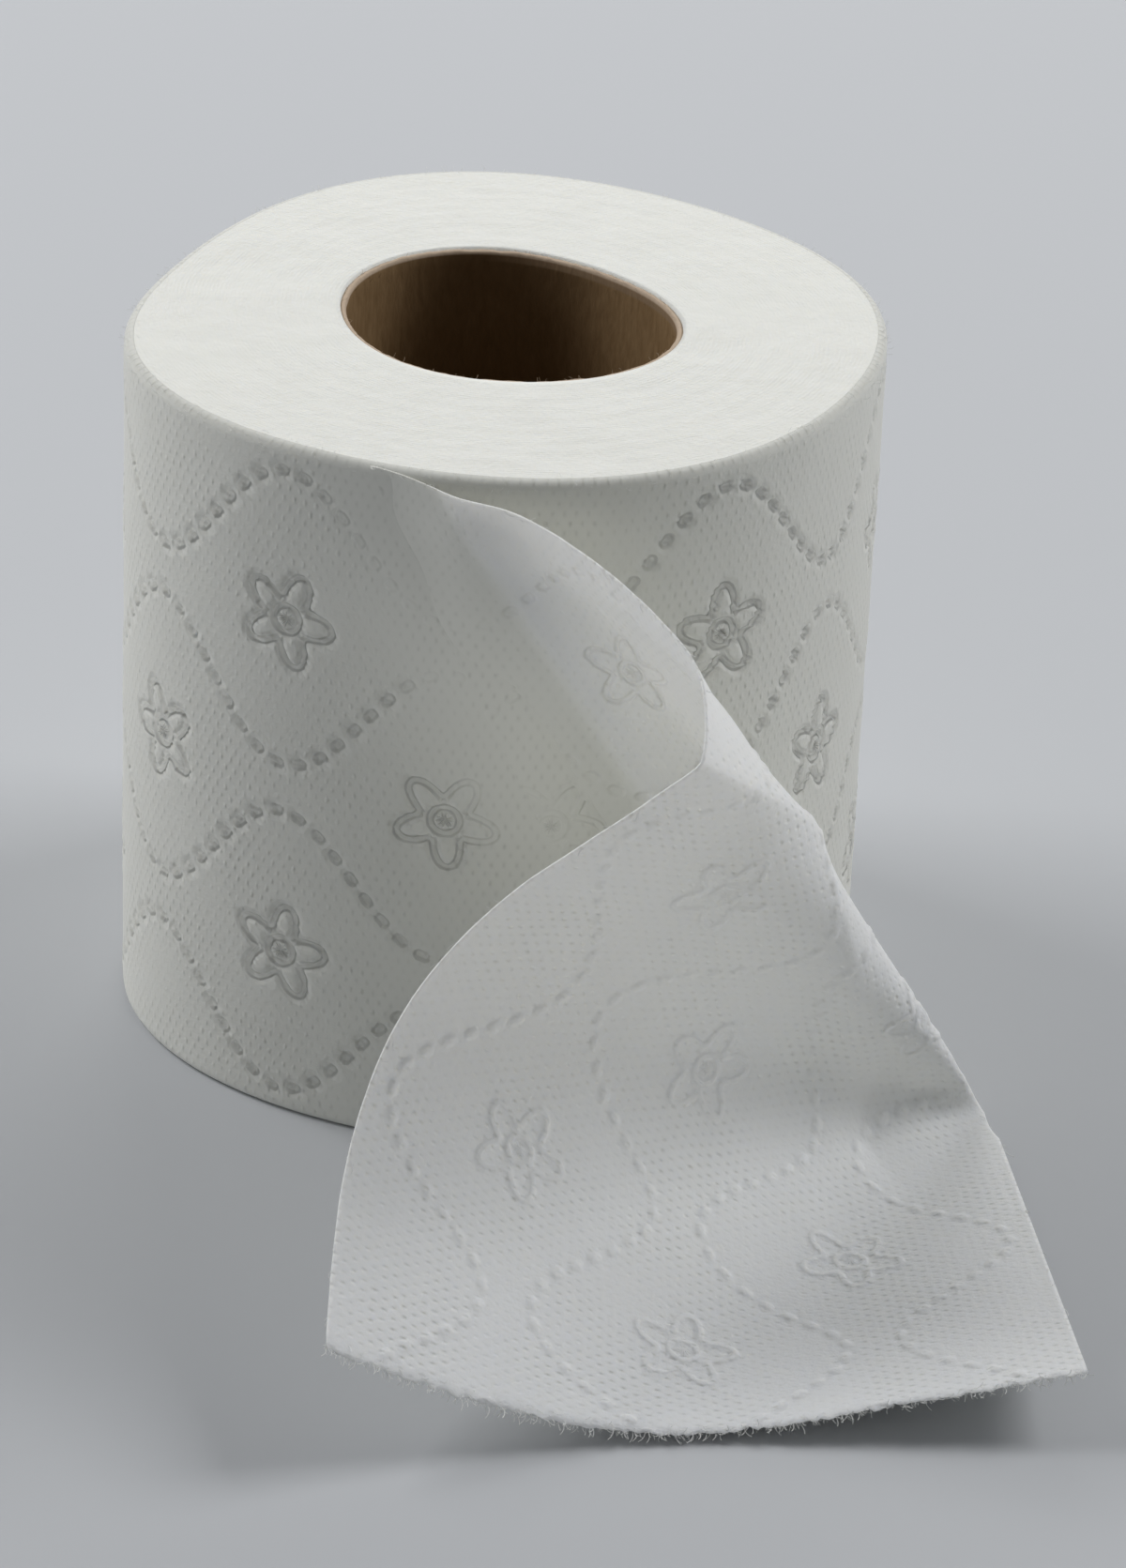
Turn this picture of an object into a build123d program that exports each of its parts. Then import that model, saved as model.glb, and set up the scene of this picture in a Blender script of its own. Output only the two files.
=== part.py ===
from build123d import *

import os
from math import atan2, cos, degrees, hypot, pi, radians, sin

# Toilet paper roll standing on its end: a soft embossed web wound on a cardboard tube, with the loose
# end of the same web turned over towards the front. Millimetres and degrees. The origin is on the axis
# of the roll at its lower end, +Z is up along the axis, and the front of the roll faces -Y.

# Driving dimensions of the web and the roll
WEB_WIDTH = 95.0
ROLL_RADIUS = 51.1
RIM_ROUND = 1.2

# The soft roll has settled out of round, with two, three and four lobes: their heights and their crests
ROLL_OVAL = 2.0
ROLL_OVAL_ANGLE = 85.0
ROLL_TRIANGLE = 0.9
ROLL_TRIANGLE_ANGLE = -24.0
ROLL_SQUARE = 1.0
ROLL_SQUARE_ANGLE = 19.0

# Cardboard core, squeezed out of round with the paper
CORE_RADIUS = 21.7
CORE_WALL = 0.9
CORE_TO_LEFT = 0.3
CORE_TO_BACK = 1.4
CORE_OVAL = 1.25
CORE_OVAL_ANGLE = -49.0
CORE_TRIANGLE = 0.55
CORE_TRIANGLE_ANGLE = -8.5
CORE_RECESS = 0.6
CORE_CLEARANCE = 0.05

# The wound turns show on both end faces as one spiral line
TURNS_SHOWN = 6
TURN_LINE_WIDTH = 0.5
TURN_LINE_DEPTH = 0.4
MARGIN_SHARE = 0.06
TURN_START = 253.0

# Tail: the web leaves the roll in a standing plane from its foot, then fans out from one point on its
# lower edge. A direction is measured at that point in the flat web, from the way the web runs.
PAPER_THICKNESS = 0.5
FOOT_ANGLE = 303.5
FOOT_HEIGHT = 0.35
HEADING = 8.0
LEAN = -4.5
FOOT_TO_FAN = 39.6
ROLL_TO_FAN = 83.5
FAN_HOLE = 4.0
TAIL_LENGTH = 160.0

# Soft bends of the fan: first direction, last direction, turn towards the outer face of the paper
BEND_ANGLES = (
    (150.5, 108.0, 75.0),
    (115.5, 92.5, 115.0),
    (95.5, 45.5, -90.0),
    (54.0, 20.0, -45.5),
)

# A crease is made after each such turn of a bend, and looked for in such steps of direction
CREASE_ANGLE = 7.0
ANGLE_STEP = 0.1

# Torn end: teeth left by the perforation
TOOTH_COUNT = 24
TOOTH_DEPTH = 0.8

# Points on one closed outline and on half a turn of the spiral, and the step that measures its slope
OUTLINE_POINTS = 36
HALF_TURN_COUNT = 9
SLOPE_SHARE = 0.001


def lobes(angle, count, height, crest):
    return height * cos(radians(count * (angle - crest)))


def roll_point(angle):
    radius = ROLL_RADIUS + lobes(angle, 2, ROLL_OVAL, ROLL_OVAL_ANGLE)
    radius += lobes(angle, 3, ROLL_TRIANGLE, ROLL_TRIANGLE_ANGLE)
    radius += lobes(angle, 4, ROLL_SQUARE, ROLL_SQUARE_ANGLE)
    return Vector(radius * cos(radians(angle)), radius * sin(radians(angle)))


def core_point(angle, outset):
    radius = CORE_RADIUS + outset + lobes(angle, 2, CORE_OVAL, CORE_OVAL_ANGLE)
    radius += lobes(angle, 3, CORE_TRIANGLE, CORE_TRIANGLE_ANGLE)
    return Vector(radius * cos(radians(angle)) - CORE_TO_LEFT, radius * sin(radians(angle)) + CORE_TO_BACK)


def closed_face(point_at):
    points = [point_at(360.0 * index / OUTLINE_POINTS) for index in range(OUTLINE_POINTS)]
    return make_face(Spline(*points, periodic=True))


def wound_turns():
    """The wound web as one solid with soft rims and a bore for the core."""
    bore = closed_face(lambda angle: core_point(angle, CORE_WALL + CORE_CLEARANCE))
    turns = extrude(closed_face(roll_point) - bore, WEB_WIDTH)
    rims = turns.edges().sort_by(Edge.length)[-2:]
    return fillet(rims, RIM_ROUND)


def turn_point(turn, side):
    """A point on one side of the spiral line, where turn counts from the core outwards."""
    angle = TURN_START + 360.0 * turn
    share = MARGIN_SHARE + (1 - 2 * MARGIN_SHARE) * turn / TURNS_SHOWN
    inside = core_point(angle, CORE_WALL + CORE_CLEARANCE)
    outside = roll_point(angle)
    return inside + (outside - inside) * share + (outside - inside).normalized() * side


def half_turn(index, side):
    """One half turn of one side of the spiral line, smooth with the half turns before and after it."""
    turns = [(index + step / HALF_TURN_COUNT) / 2 for step in range(HALF_TURN_COUNT + 1)]
    ends = (turns[0], turns[-1])
    slopes = [turn_point(turn + SLOPE_SHARE, side) - turn_point(turn - SLOPE_SHARE, side) for turn in ends]
    return Spline(*[turn_point(turn, side) for turn in turns], tangents=slopes)


def turn_lines():
    """The shallow spiral groove between the turns, cut into both ends of the roll."""
    half_width = TURN_LINE_WIDTH / 2
    edges = [half_turn(index, side) for side in (-half_width, half_width) for index in range(2 * TURNS_SHOWN)]
    for turn in (0, TURNS_SHOWN):
        edges.append(Line(turn_point(turn, -half_width), turn_point(turn, half_width)))
    groove = extrude(make_face(edges), TURN_LINE_DEPTH)
    return [groove, Pos(0, 0, WEB_WIDTH - TURN_LINE_DEPTH) * groove]


def turned(direction):
    """How far the fan has turned in all, from the standing plane down to a direction."""
    total = 0.0
    for first, last, turn in BEND_ANGLES:
        share = min(max((first - direction) / (first - last), 0.0), 1.0)
        total += turn * (share - sin(2 * pi * share) / (2 * pi))
    return total


def direction_to(along, height):
    return degrees(atan2(height, along - ROLL_TO_FAN))


def fan_edge():
    """Directions of the fan's creases, each with its length out to the edge of the flat web."""
    start_along = ROLL_TO_FAN - FOOT_TO_FAN
    top_left = direction_to(0.0, WEB_WIDTH)
    top_right = direction_to(TAIL_LENGTH, WEB_WIDTH)
    steps = [180.0, BEND_ANGLES[0][0], top_left]
    last_turn = turned(BEND_ANGLES[0][0])
    direction = BEND_ANGLES[0][0]
    while direction > top_right:
        direction -= ANGLE_STEP
        if abs(turned(direction) - last_turn) >= CREASE_ANGLE:
            steps.append(direction)
            last_turn = turned(direction)
    edge = []
    for direction in sorted(steps, reverse=True):
        if direction > top_left:
            # the start line runs from the foot up to the rim of the roll
            slope = WEB_WIDTH * cos(radians(direction)) + start_along * sin(radians(direction))
            length = -FOOT_TO_FAN * WEB_WIDTH / slope
        else:
            length = WEB_WIDTH / sin(radians(direction))
        edge.append((direction, length))
    for index in range(2 * TOOTH_COUNT + 1):
        height = WEB_WIDTH * (1 - index / (2 * TOOTH_COUNT))
        along = TAIL_LENGTH - TOOTH_DEPTH * (index % 2)
        edge.append((direction_to(along, height), hypot(along - ROLL_TO_FAN, height)))
    return edge


def folded_fan(edge):
    """Each crease of the folded tail: its direction in space and the mitred offset of the paper."""
    heading = Vector(cos(radians(HEADING)), sin(radians(HEADING)), 0)
    outward = Vector(heading.Y, -heading.X, 0)
    upward = Vector(0, 0, 1) * cos(radians(LEAN)) + outward * sin(radians(LEAN))
    normal = heading.cross(upward)
    centre = roll_point(FOOT_ANGLE) + Vector(0, 0, FOOT_HEIGHT) + heading * FOOT_TO_FAN
    directions = [direction for direction, length in edge]
    rays = []
    mitres = []
    for index, direction in enumerate(directions):
        ray = heading * cos(radians(direction)) + upward * sin(radians(direction))
        before = directions[max(index - 1, 0)]
        after = directions[min(index + 1, len(directions) - 1)]
        bend = turned((direction + after) / 2) - turned((before + direction) / 2)
        crease = Axis((0, 0, 0), -ray)
        next_normal = normal.rotate(crease, bend)
        rays.append(ray)
        mitres.append((normal + next_normal) * (1 / (1 + normal.dot(next_normal))))
        normal = next_normal
        heading = heading.rotate(crease, bend)
        upward = upward.rotate(crease, bend)
    return centre, rays, mitres


def flat_panel(*corners):
    return Face(Wire.make_polygon(corners))


def tail():
    """The loose end: flat panels of paper between creases that all run to one point."""
    edge = fan_edge()
    centre, rays, mitres = folded_fan(edge)
    half = PAPER_THICKNESS / 2
    sides = []
    for (direction, length), ray, mitre in zip(edge, rays, mitres):
        near = centre + ray * FAN_HOLE
        far = centre + ray * length
        sides.append((near + mitre * half, far + mitre * half, far - mitre * half, near - mitre * half))
    panels = [flat_panel(*sides[0]), flat_panel(*sides[-1])]
    for this, other in zip(sides, sides[1:]):
        panels.append(flat_panel(this[0], this[1], other[1], other[0]))
        panels.append(flat_panel(this[3], this[2], other[2], other[3]))
        panels.append(flat_panel(this[1], this[2], other[2]))
        panels.append(flat_panel(this[1], other[2], other[1]))
        panels.append(flat_panel(this[0], this[3], other[3]))
        panels.append(flat_panel(this[0], other[3], other[0]))
    return Solid(Shell(panels))


def paper_web():
    return wound_turns() - turn_lines() + tail()


def cardboard_core():
    outside = closed_face(lambda angle: core_point(angle, CORE_WALL))
    inside = closed_face(lambda angle: core_point(angle, 0.0))
    return Pos(0, 0, CORE_RECESS) * extrude(outside - inside, WEB_WIDTH - 2 * CORE_RECESS)


os.makedirs("parts", exist_ok=True)
export_step(paper_web(), "parts/paper_web.step")
export_step(cardboard_core(), "parts/cardboard_core.step")
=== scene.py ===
# %% [markdown]
# # A roll of toilet paper, standing on its end
# The roll is a long web of soft embossed tissue, wound on a cardboard tube. Its loose end has come away
# from the front, turned over and fallen forward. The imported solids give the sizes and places; this
# lesson makes what a camera sees: pressed dots, cut edges, a torn end with fibres, and raw cardboard.

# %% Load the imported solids
from math import cos, hypot, pi, radians, sin, tau

import bpy
from mathutils import Matrix, Vector


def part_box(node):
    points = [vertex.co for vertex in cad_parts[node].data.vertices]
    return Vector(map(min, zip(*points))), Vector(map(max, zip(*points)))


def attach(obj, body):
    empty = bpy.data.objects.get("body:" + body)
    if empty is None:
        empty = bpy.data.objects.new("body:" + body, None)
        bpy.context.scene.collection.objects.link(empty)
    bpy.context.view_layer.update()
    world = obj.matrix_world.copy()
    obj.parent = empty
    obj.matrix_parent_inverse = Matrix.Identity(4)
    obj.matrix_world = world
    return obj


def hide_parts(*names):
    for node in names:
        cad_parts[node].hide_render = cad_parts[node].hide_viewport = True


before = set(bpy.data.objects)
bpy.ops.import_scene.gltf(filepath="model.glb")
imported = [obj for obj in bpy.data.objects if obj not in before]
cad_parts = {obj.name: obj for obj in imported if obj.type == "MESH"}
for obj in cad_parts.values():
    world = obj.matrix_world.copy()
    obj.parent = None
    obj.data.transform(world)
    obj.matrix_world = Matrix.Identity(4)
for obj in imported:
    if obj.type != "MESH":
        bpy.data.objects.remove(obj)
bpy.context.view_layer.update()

# %% [markdown]
# ## Sizes
# The script works in metres, as Blender does, so a size in millimetres is written with MM. The web's
# width is read from the solid. The oval shapes repeat the rule of the solids: a mean radius and a few
# lobes, each with its count, its height and the direction of a crest. The tube's upper rim is set nearly
# level with the paper, a little higher than the solid's.

# %% Sizes of the web, the roll and the core
MM = 0.001
WEB_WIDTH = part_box("paper_web")[1].z
ROLL_RADIUS = 51.1 * MM
RIM_ROUND = 1.2 * MM
ROLL_LOBES = ((2, 2.0 * MM, radians(85.0)), (3, 0.9 * MM, radians(-24.0)), (4, 1.0 * MM, radians(19.0)))
CORE_RADIUS = 21.7 * MM
CORE_WALL = 0.9 * MM
CORE_CENTRE = (-0.3 * MM, 1.4 * MM)
CORE_LOBES = ((2, 1.25 * MM, radians(-49.0)), (3, 0.55 * MM, radians(-8.5)))
CORE_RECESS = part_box("cardboard_core")[0].z
CORE_TOP_RECESS = 0.18 * MM
CORE_TOP = WEB_WIDTH - CORE_TOP_RECESS
print("web width", WEB_WIDTH, "core recess", CORE_RECESS)

# %% [markdown]
# ## Writing node trees
# Node trees can be drawn by hand, but a script gives the same tree every time. A wire is one value that
# runs through a tree. Adding or multiplying wires adds Math nodes, so that a rule reads as a formula.


# %% Wires and nodes
def socket_of(sockets, key):
    """The socket in use with that place or name: many nodes hide the sockets of other data types."""
    usable = [socket for socket in sockets if socket.enabled]
    if isinstance(key, int):
        return usable[key]
    return next(socket for socket in usable if socket.name == key)


def add_node(tree, kind, values=(), **settings):
    """Adds a node, sets its options, and fills its inputs by place or by name."""
    node = tree.nodes.new(kind)
    for name, setting in settings.items():
        setattr(node, name, setting)
    pairs = values.items() if isinstance(values, dict) else enumerate(values)
    for key, value in pairs:
        socket = socket_of(node.inputs, key)
        if isinstance(value, Wire):
            tree.links.new(value.socket, socket)
        else:
            socket.default_value = value
    return node


class Wire:
    """A value in a node tree. Sums, differences and products of wires are Math nodes."""

    def __init__(self, tree, node, output=0):
        self.tree = tree
        self.socket = socket_of(node.outputs, output)

    def math(self, operation, *others):
        return wire(self.tree, "ShaderNodeMath", (self, *others), operation=operation)

    def vector(self, operation, *others):
        return wire(self.tree, "ShaderNodeVectorMath", (self, *others), operation=operation)

    def axis(self, name):
        return Wire(self.tree, add_node(self.tree, "ShaderNodeSeparateXYZ", (self,)), name)

    def __add__(self, other):
        return self.math("ADD", other)

    def __sub__(self, other):
        return self.math("SUBTRACT", other)

    def __rsub__(self, other):
        return self.math("MULTIPLY_ADD", -1.0, other)

    def __mul__(self, other):
        return self.math("MULTIPLY", other)

    def __truediv__(self, other):
        return self.math("DIVIDE", other)

    __radd__ = __add__
    __rmul__ = __mul__


def wire(tree, kind, values=(), output=0, **settings):
    return Wire(tree, add_node(tree, kind, values, **settings), output)


def combine(tree, x=0.0, y=0.0, z=0.0):
    return wire(tree, "ShaderNodeCombineXYZ", (x, y, z))


def ease(value, start, end):
    """0 at start, 1 at end and smooth between them."""
    limits = {"Value": value, "From Min": start, "From Max": end}
    return wire(value.tree, "ShaderNodeMapRange", limits, interpolation_type="SMOOTHSTEP")


def noise(tree, place, size, detail=2.0):
    """Cloudy noise between about -0.5 and 0.5 whose clouds have that size."""
    values = {"Vector": place, "Scale": 1.0 / size, "Detail": detail}
    return wire(tree, "ShaderNodeTexNoise", values) - 0.5


SOCKET_KINDS = {
    float: "NodeSocketFloat",
    int: "NodeSocketInt",
    tuple: "NodeSocketVector",
    type(None): "NodeSocketGeometry",
    bpy.types.Material: "NodeSocketMaterial",
}


def takes(tree, name, value=None):
    """Gives the tree a named input and returns its wire."""
    socket = tree.interface.new_socket(name, in_out="INPUT", socket_type=SOCKET_KINDS[type(value)])
    if value is not None:
        socket.default_value = value
    return wire(tree, "NodeGroupInput", output=name)


def gives(tree, **results):
    """Ends the tree with named outputs."""
    kinds = {"GEOMETRY": "NodeSocketGeometry", "VALUE": "NodeSocketFloat", "VECTOR": "NodeSocketVector"}
    for name, result in results.items():
        tree.interface.new_socket(name, in_out="OUTPUT", socket_type=kinds[result.socket.type])
    add_node(tree, "NodeGroupOutput", results)


def geometry_tree(name):
    return bpy.data.node_groups.new(name, "GeometryNodeTree")


def line_mesh(name, points):
    """A mesh of points joined in a row, for a tree to read."""
    mesh = bpy.data.meshes.new(name)
    mesh.from_pydata(points, [(index, index + 1) for index in range(len(points) - 1)], [])
    return mesh


def grow(name, tree, base, sizes):
    """Runs a tree on a base mesh and keeps the result as a plain mesh."""
    maker = bpy.data.objects.new(name + "_maker", base)
    bpy.context.scene.collection.objects.link(maker)
    modifier = maker.modifiers.new("rule", "NODES")
    modifier.node_group = tree
    for item in tree.interface.items_tree:
        if item.in_out == "INPUT" and item.name in sizes:
            modifier[item.identifier] = sizes[item.name]
    graph = bpy.context.evaluated_depsgraph_get()
    mesh = bpy.data.meshes.new_from_object(maker.evaluated_get(graph), preserve_all_data_layers=True,
                                           depsgraph=graph)
    bpy.data.objects.remove(maker)
    mesh.name = name
    piece = bpy.data.objects.new(name, mesh)
    bpy.context.scene.collection.objects.link(piece)
    triangles = sum(len(face.vertices) - 2 for face in mesh.polygons)
    print(name, "vertices", len(mesh.vertices), "triangles", triangles)
    return piece


# %% [markdown]
# ## The embossed pattern
# Rows of oval dots run along the web in waves that open and close like a chain of leaves, with a
# five-petalled flower in each leaf. The dots could be cut one by one, but the paper is pressed between
# rollers, and a roller repeats. So the pattern is a formula: how far a point of the flat web is from the
# nearest dot or outline, and from that how deep it is pressed. The same formula makes one group for
# geometry, which presses the surface, and one for shaders, which sharpens the edges of the dots.

# %% Groups: how deep the roller presses at a point of the flat web
WAVE_LENGTH = 44.0 * MM
WAVE_HEIGHT = 8.5 * MM
WAVE_ROWS = 4
DOT_PITCH = 3.4 * MM
DOT_STROKE = 0.7 * MM
DOT_RADIUS = 0.9 * MM
FLOWER_RADIUS = 6.6 * MM
FLOWER_RING = 0.28
PETALS = 5
PETAL_DEPTH = 0.24
OUTLINE_RADIUS = 0.6 * MM
FLAT_FLOOR = 0.35
LIP_REACH = 2.2
LIP_HEIGHT = 0.2


def wave_run():
    """How much longer a wave is than its straight line: on average, and where it is steep."""
    angles = [tau * index / 64 for index in range(64)]
    stretch = [hypot(1.0, tau * WAVE_HEIGHT / WAVE_LENGTH * cos(angle)) for angle in angles]
    sway = sum(value * cos(2 * angle) for value, angle in zip(stretch, angles)) / 32
    return sum(stretch) / 64, sway * WAVE_LENGTH / (2 * tau)


def dot_gap(along, across):
    """Distance to the nearest oval dot on the waves."""
    row_step = WEB_WIDTH / WAVE_ROWS
    row = (across / row_step).math("FLOOR")
    rise = (1.0 - row.math("MODULO", 2.0) * 2.0) * WAVE_HEIGHT
    turn = along * (tau / WAVE_LENGTH)
    aside = across - (row + 0.5) * row_step - turn.math("SINE") * rise
    slope = turn.math("COSINE") * rise * (tau / WAVE_LENGTH)
    steep = slope * slope + 1.0
    foot = along + aside * slope / steep
    mean_run, sway = wave_run()
    run = foot * mean_run + (foot * (2 * tau / WAVE_LENGTH)).math("SINE") * sway
    from_middle = ((run / DOT_PITCH).math("FRACT") - 0.5).math("ABSOLUTE") * DOT_PITCH
    past_end = (from_middle - DOT_STROKE / 2).math("MAXIMUM", 0.0)
    return (past_end * past_end + aside * aside / steep).math("SQRT")


def flower_gap(along, across):
    """Distance to the nearest flower outline, or to the ring in its middle."""
    row_step = WEB_WIDTH / WAVE_ROWS
    row = (across / row_step).math("ROUND").math("MAXIMUM", 1.0).math("MINIMUM", WAVE_ROWS - 1.0)
    column = along / WAVE_LENGTH - 0.75 + (row + 1.0).math("MODULO", 2.0) * 0.5
    middle = column.math("ROUND")
    x = (column - middle) * WAVE_LENGTH
    y = across - row * row_step
    reach = (x * x + y * y).math("SQRT")
    angle = (y.math("ARCTAN2", x) + middle * 0.9 + row * 2.0) * float(PETALS)
    petal = (angle.math("COSINE") * PETAL_DEPTH + (1.0 - PETAL_DEPTH)) * FLOWER_RADIUS
    slant = angle.math("SINE") * (PETALS * PETAL_DEPTH * FLOWER_RADIUS) / reach
    outline = (reach - petal).math("ABSOLUTE") / (slant * slant + 1.0).math("SQRT")
    ring = (reach - FLOWER_RING * FLOWER_RADIUS).math("ABSOLUTE")
    return outline.math("MINIMUM", ring)


def embossing_group(kind):
    """1 at the bottom of a dot or an outline, 0 on the plain web and a little less on the lip between."""
    tree = bpy.data.node_groups.new("embossing", kind)
    flat = takes(tree, "Flat", (0.0, 0.0, 0.0))
    along, across = flat.axis("X"), flat.axis("Y")
    hollows = []
    lips = []
    for gap, reach in ((dot_gap(along, across), DOT_RADIUS), (flower_gap(along, across), OUTLINE_RADIUS)):
        hollows.append(ease(gap, reach, reach * FLAT_FLOOR))
        lips.append(ease(gap, reach * LIP_REACH, reach))
    hollow = hollows[0].math("MAXIMUM", hollows[1])
    lip = lips[0].math("MAXIMUM", lips[1]) * (1.0 - hollow)
    gives(tree, Pressed=hollow - lip * LIP_HEIGHT)
    return tree


PRESS_GEOMETRY = embossing_group("GeometryNodeTree")
PRESS_SHADER = embossing_group("ShaderNodeTree")
print("groups", [group.name for group in bpy.data.node_groups], "nodes", len(PRESS_SHADER.nodes))


def pressed(tree, flat, kind="GeometryNodeGroup", group=PRESS_GEOMETRY):
    node = tree.nodes.new(kind)
    node.node_tree = group
    tree.links.new(flat.socket, node.inputs["Flat"])
    return Wire(tree, node)


# %% [markdown]
# ## Tissue and cardboard
# Tissue is a soft white felt of fibres. Close to, it shows a fine lattice of dots that the embossing
# roller leaves all over it. The lattice could be modelled, but with a dot every millimetre and a half it
# would take millions of faces, so it is bump. It reads the flat web's own coordinates, kept as a UV map,
# and so it follows the paper round the roll and over the folds.


# %% Shader group: the lattice of fine dots and the felt of fibres
PIT_PITCH = 1.55 * MM
PIT_SHARPNESS = 5.0
ROW_STRETCH = 1.8
ROW_DRIFT = 0.4
COLUMN_DRIFT = 0.7


def tissue_group():
    tree = bpy.data.node_groups.new("tissue_relief", "ShaderNodeTree")
    flat = takes(tree, "Flat", (0.0, 0.0, 0.0))
    pitch = takes(tree, "Dot pitch", PIT_PITCH)
    dots = takes(tree, "Dot height", 1.0)
    felt = takes(tree, "Felt height", 0.5)
    along = (flat.axis("X") / pitch + noise(tree, flat, 8.0 * MM) * COLUMN_DRIFT) * tau
    across = (flat.axis("Y") / (pitch * ROW_STRETCH) + noise(tree, flat, 6.0 * MM) * ROW_DRIFT) * tau
    lattice = along.math("COSINE") * across.math("COSINE") * 0.5 + 0.5
    press = ease(noise(tree, flat, 13.0 * MM), -0.2, 0.2) * 0.8 + 0.2
    uneven = noise(tree, flat, 1.5 * MM) * 1.8 + 0.8
    pits = lattice.math("POWER", PIT_SHARPNESS) * press * uneven
    fibres = noise(tree, flat, 0.55 * MM, 3.0) + noise(tree, flat, 2.4 * MM, 2.0) * 0.8
    gives(tree, Height=fibres * felt - pits * dots, Pits=pits)
    return tree


TISSUE = tissue_group()
print("group", TISSUE.name, [item.name for item in TISSUE.interface.items_tree])


# %% Colours and finishes of tissue and cardboard
PALE_TISSUE = (0.96, 0.96, 0.91, 1.0)
SHADED_TISSUE = (0.48, 0.48, 0.435, 1.0)
PALE_END = (0.92, 0.92, 0.87, 1.0)
SHADED_END = (0.86, 0.86, 0.805, 1.0)
PALE_FIBRE = (0.9, 0.9, 0.88, 1.0)
DARK_BOARD = (0.19, 0.115, 0.05, 1.0)
PALE_BOARD = (0.31, 0.205, 0.105, 1.0)
# painted shade for the middle of the tube's far wall
PAINTED_SHADE_BOARD = (0.06, 0.03, 0.01, 1.0)
CRUSHED_BOARD = (0.26, 0.18, 0.11, 1.0)
CUT_BOARD = (0.56, 0.44, 0.33, 1.0)
WOUND_SOFTNESS = 0.35
FREE_SOFTNESS = 0.95
# painted shade and light: the same paper is coloured darker where it is wound on the roll and lighter where
# the sheet hangs free and takes light from both sides
PAINTED_WOUND_SHADE = 0.36
FREE_SHADE = -0.06
CLOUD_SHADE = 0.12
SLACK_SMOOTHING = 0.8
TURN_PITCH = 0.55 * MM
PAINTED_SHADE_SHARE = 0.6
CRUSHED_DEPTH = 1.6 * MM
CUT_DEPTH = 0.6 * MM
print("tissue", PALE_TISSUE, "board", PALE_BOARD)


# %% Materials: embossed tissue, cut ends and cardboard
def new_material(name, roughness):
    material = bpy.data.materials.new(name)
    material.use_nodes = True
    shader = material.node_tree.nodes["Principled BSDF"]
    shader.inputs["Roughness"].default_value = roughness
    shader.inputs["Specular IOR Level"].default_value = 0.2
    return material, material.node_tree, shader


def connect(tree, result, node, name):
    tree.links.new(result.socket, node.inputs[name])


def plain_material(name, roughness, colour):
    material, _, shader = new_material(name, roughness)
    shader.inputs["Base Color"].default_value = colour
    return material


def mixed_colour(tree, factor, first, second):
    values = {"Factor": factor, "A": first, "B": second}
    return wire(tree, "ShaderNodeMix", values, data_type="RGBA")


def bump(tree, height, distance):
    return wire(tree, "ShaderNodeBump", {"Height": height, "Distance": distance, "Strength": 1.0})


def soften(shader, weight, depth):
    shader.inputs["Subsurface Weight"].default_value = weight
    shader.inputs["Subsurface Radius"].default_value = (1.0, 0.95, 0.85)
    shader.inputs["Subsurface Scale"].default_value = depth
    shader.inputs["Sheen Weight"].default_value = 0.08
    shader.inputs["Sheen Roughness"].default_value = 0.6


def tissue_material(name, lattice, pit_shade, dots):
    """Embossed tissue. Where the sheet is free of the roll, more light goes through it and comes back, and
    where it leaves the wall it is smooth and solid, so that wall and sheet meet without a line."""
    material, tree, shader = new_material(name, 0.92)
    soften(shader, WOUND_SOFTNESS, 1.2 * MM)
    flat = wire(tree, "ShaderNodeUVMap", uv_map="flat")
    free = wire(tree, "ShaderNodeAttribute", output="Fac", attribute_name="free")
    slack = wire(tree, "ShaderNodeAttribute", output="Fac", attribute_name="slack")
    softness = (free * (FREE_SOFTNESS - WOUND_SOFTNESS) + WOUND_SOFTNESS) * (1.0 - slack)
    connect(tree, softness, shader, "Subsurface Weight")
    relief = add_node(tree, "ShaderNodeGroup", node_tree=TISSUE)
    connect(tree, flat, relief, "Flat")
    cloud = noise(tree, flat, 14.0 * MM, 3.0) + 0.5
    # painted shade in the pits of the dot lattice; the clouds are the paper's own uneven tone
    shade = Wire(tree, relief, "Pits") * pit_shade + cloud * CLOUD_SHADE
    # painted shade on the wound paper, painted light on the free sheet
    shade = shade + PAINTED_WOUND_SHADE + free * (FREE_SHADE - PAINTED_WOUND_SHADE)
    connect(tree, mixed_colour(tree, shade, PALE_TISSUE, SHADED_TISSUE), shader, "Base Color")
    sunk = pressed(tree, flat, "ShaderNodeGroup", PRESS_SHADER)
    height = Wire(tree, relief, "Height") * lattice - sunk * dots
    connect(tree, bump(tree, height * (1.0 - slack * SLACK_SMOOTHING), MM), shader, "Normal")
    return material


def cut_end_material():
    """The ends of the roll: hundreds of cut edges, pressed to a felt with faint turn lines."""
    material, tree, shader = new_material("cut_ends", 0.95)
    soften(shader, WOUND_SOFTNESS, 0.8 * MM)
    flat = wire(tree, "ShaderNodeUVMap", uv_map="flat")
    place = wire(tree, "ShaderNodeTexCoord", output="Object")
    turn = flat.axis("Y") / TURN_PITCH + noise(tree, place, 6.0 * MM) * 1.6
    lines = (turn * tau).math("SINE") * (noise(tree, place, 4.0 * MM) + 0.5)
    felt = noise(tree, place, 0.7 * MM, 3.0) + noise(tree, place, 3.5 * MM) * 1.2
    connect(tree, bump(tree, lines * 0.15 + felt, 0.14 * MM), shader, "Normal")
    cloud = noise(tree, place, 5.0 * MM, 3.0) + lines * 0.06 + 0.4
    connect(tree, mixed_colour(tree, cloud, PALE_END, SHADED_END), shader, "Base Color")
    return material


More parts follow.
